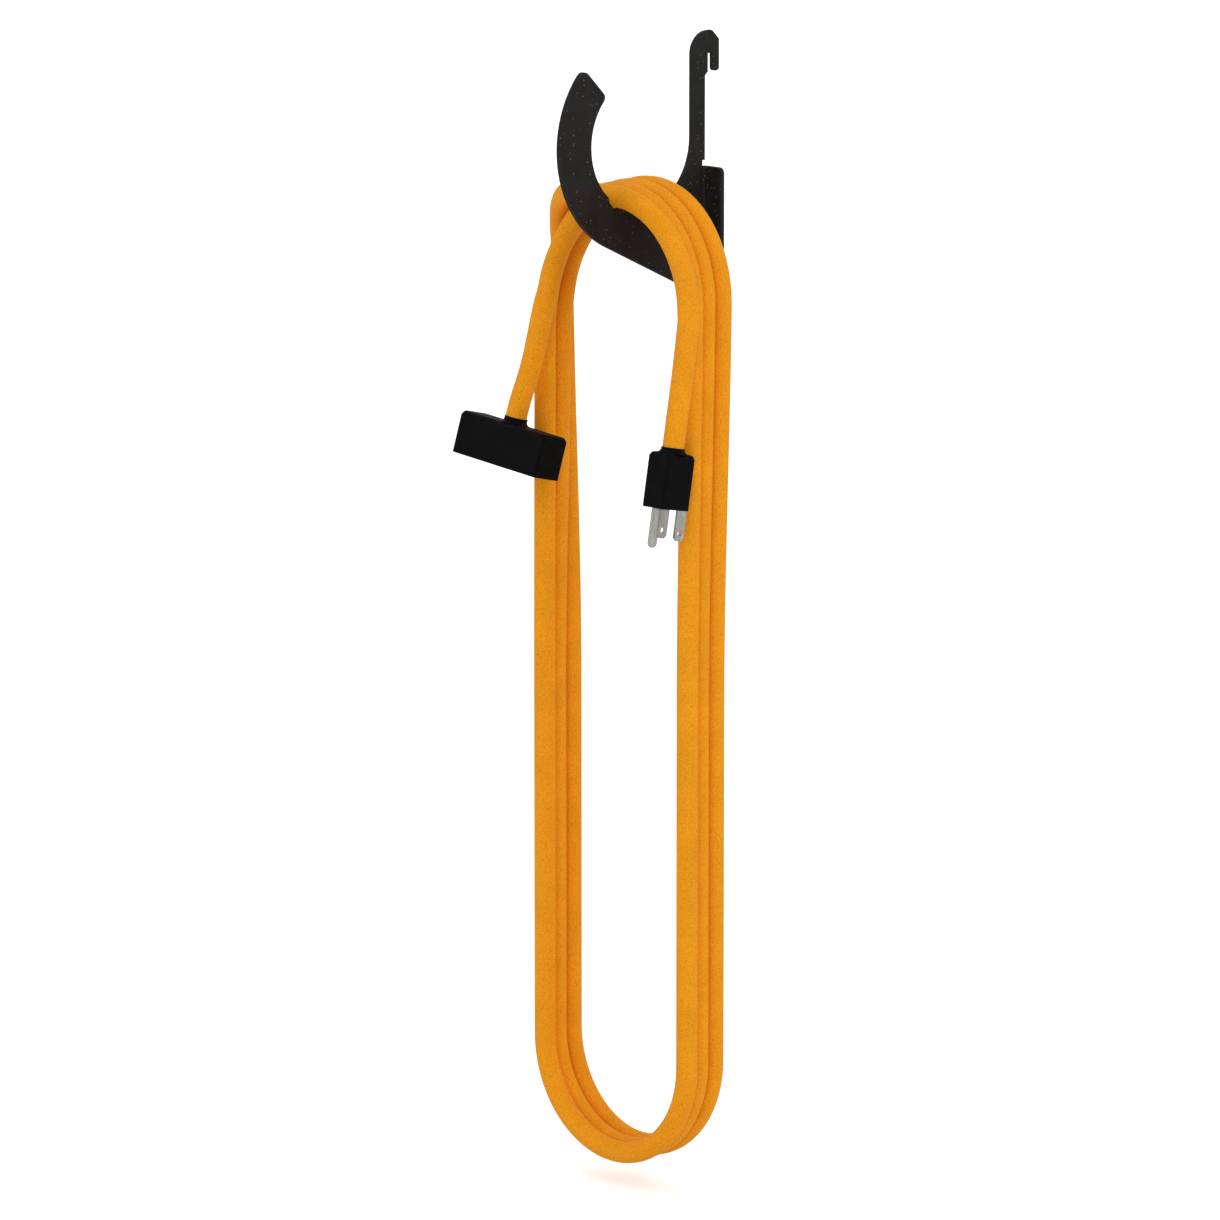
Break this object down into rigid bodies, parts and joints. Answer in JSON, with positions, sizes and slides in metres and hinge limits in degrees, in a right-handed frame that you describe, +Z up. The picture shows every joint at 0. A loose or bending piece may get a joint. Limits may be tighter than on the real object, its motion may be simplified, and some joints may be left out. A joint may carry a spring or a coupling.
{
  "type": "extension cord",
  "caption": "Orange three-core extension cord with a grounded plug and a black outlet block, coiled in long loops and hung on a bent sheet-steel panel hook.",
  "frame": {"origin": "on the hanger's middle plane, where the panel's front face meets the closed end of the hanger's slot", "axes": "+Z up, +Y towards the wall, +X to the right of someone who faces the wall"},
  "size_m": [0.1606, 0.1137, 0.5987],
  "materials": {
    "powder_coat": "matte, finely speckled powder coat",
    "orange_jacket": "satin",
    "black_vinyl": "matte",
    "nickel": "brushed",
    "contact_brass": "satin",
    "carrier_resin": "matte",
    "wire_black": "satin",
    "wire_white": "satin",
    "wire_green": "satin"
  },
  "bodies": {
    "hanger": {"hook_plate": "powder_coat"},
    "cord_set": {"cord_jacket": "orange_jacket", "plug_body": "black_vinyl", "plug_collar": "black_vinyl", "blade_carrier": "carrier_resin", "line_blade": "nickel", "neutral_blade": "nickel", "ground_pin": "nickel", "plug_line_wire": "wire_black", "plug_neutral_wire": "wire_white", "plug_ground_wire": "wire_green", "block_shell": "black_vinyl", "outlet_cover": "black_vinyl", "block_collar": "black_vinyl", "contact_carrier": "carrier_resin", "line_bus": "contact_brass", "neutral_bus": "contact_brass", "ground_bus": "contact_brass", "block_line_wire": "wire_black", "block_neutral_wire": "wire_white", "block_ground_wire": "wire_green"}
  },
  "joints": [
    {"name": "lift_off", "type": "slide", "parent": "hanger", "child": "cord_set", "axis": [0, 0, 1], "range_m": [0, 0.085]}
  ]
}
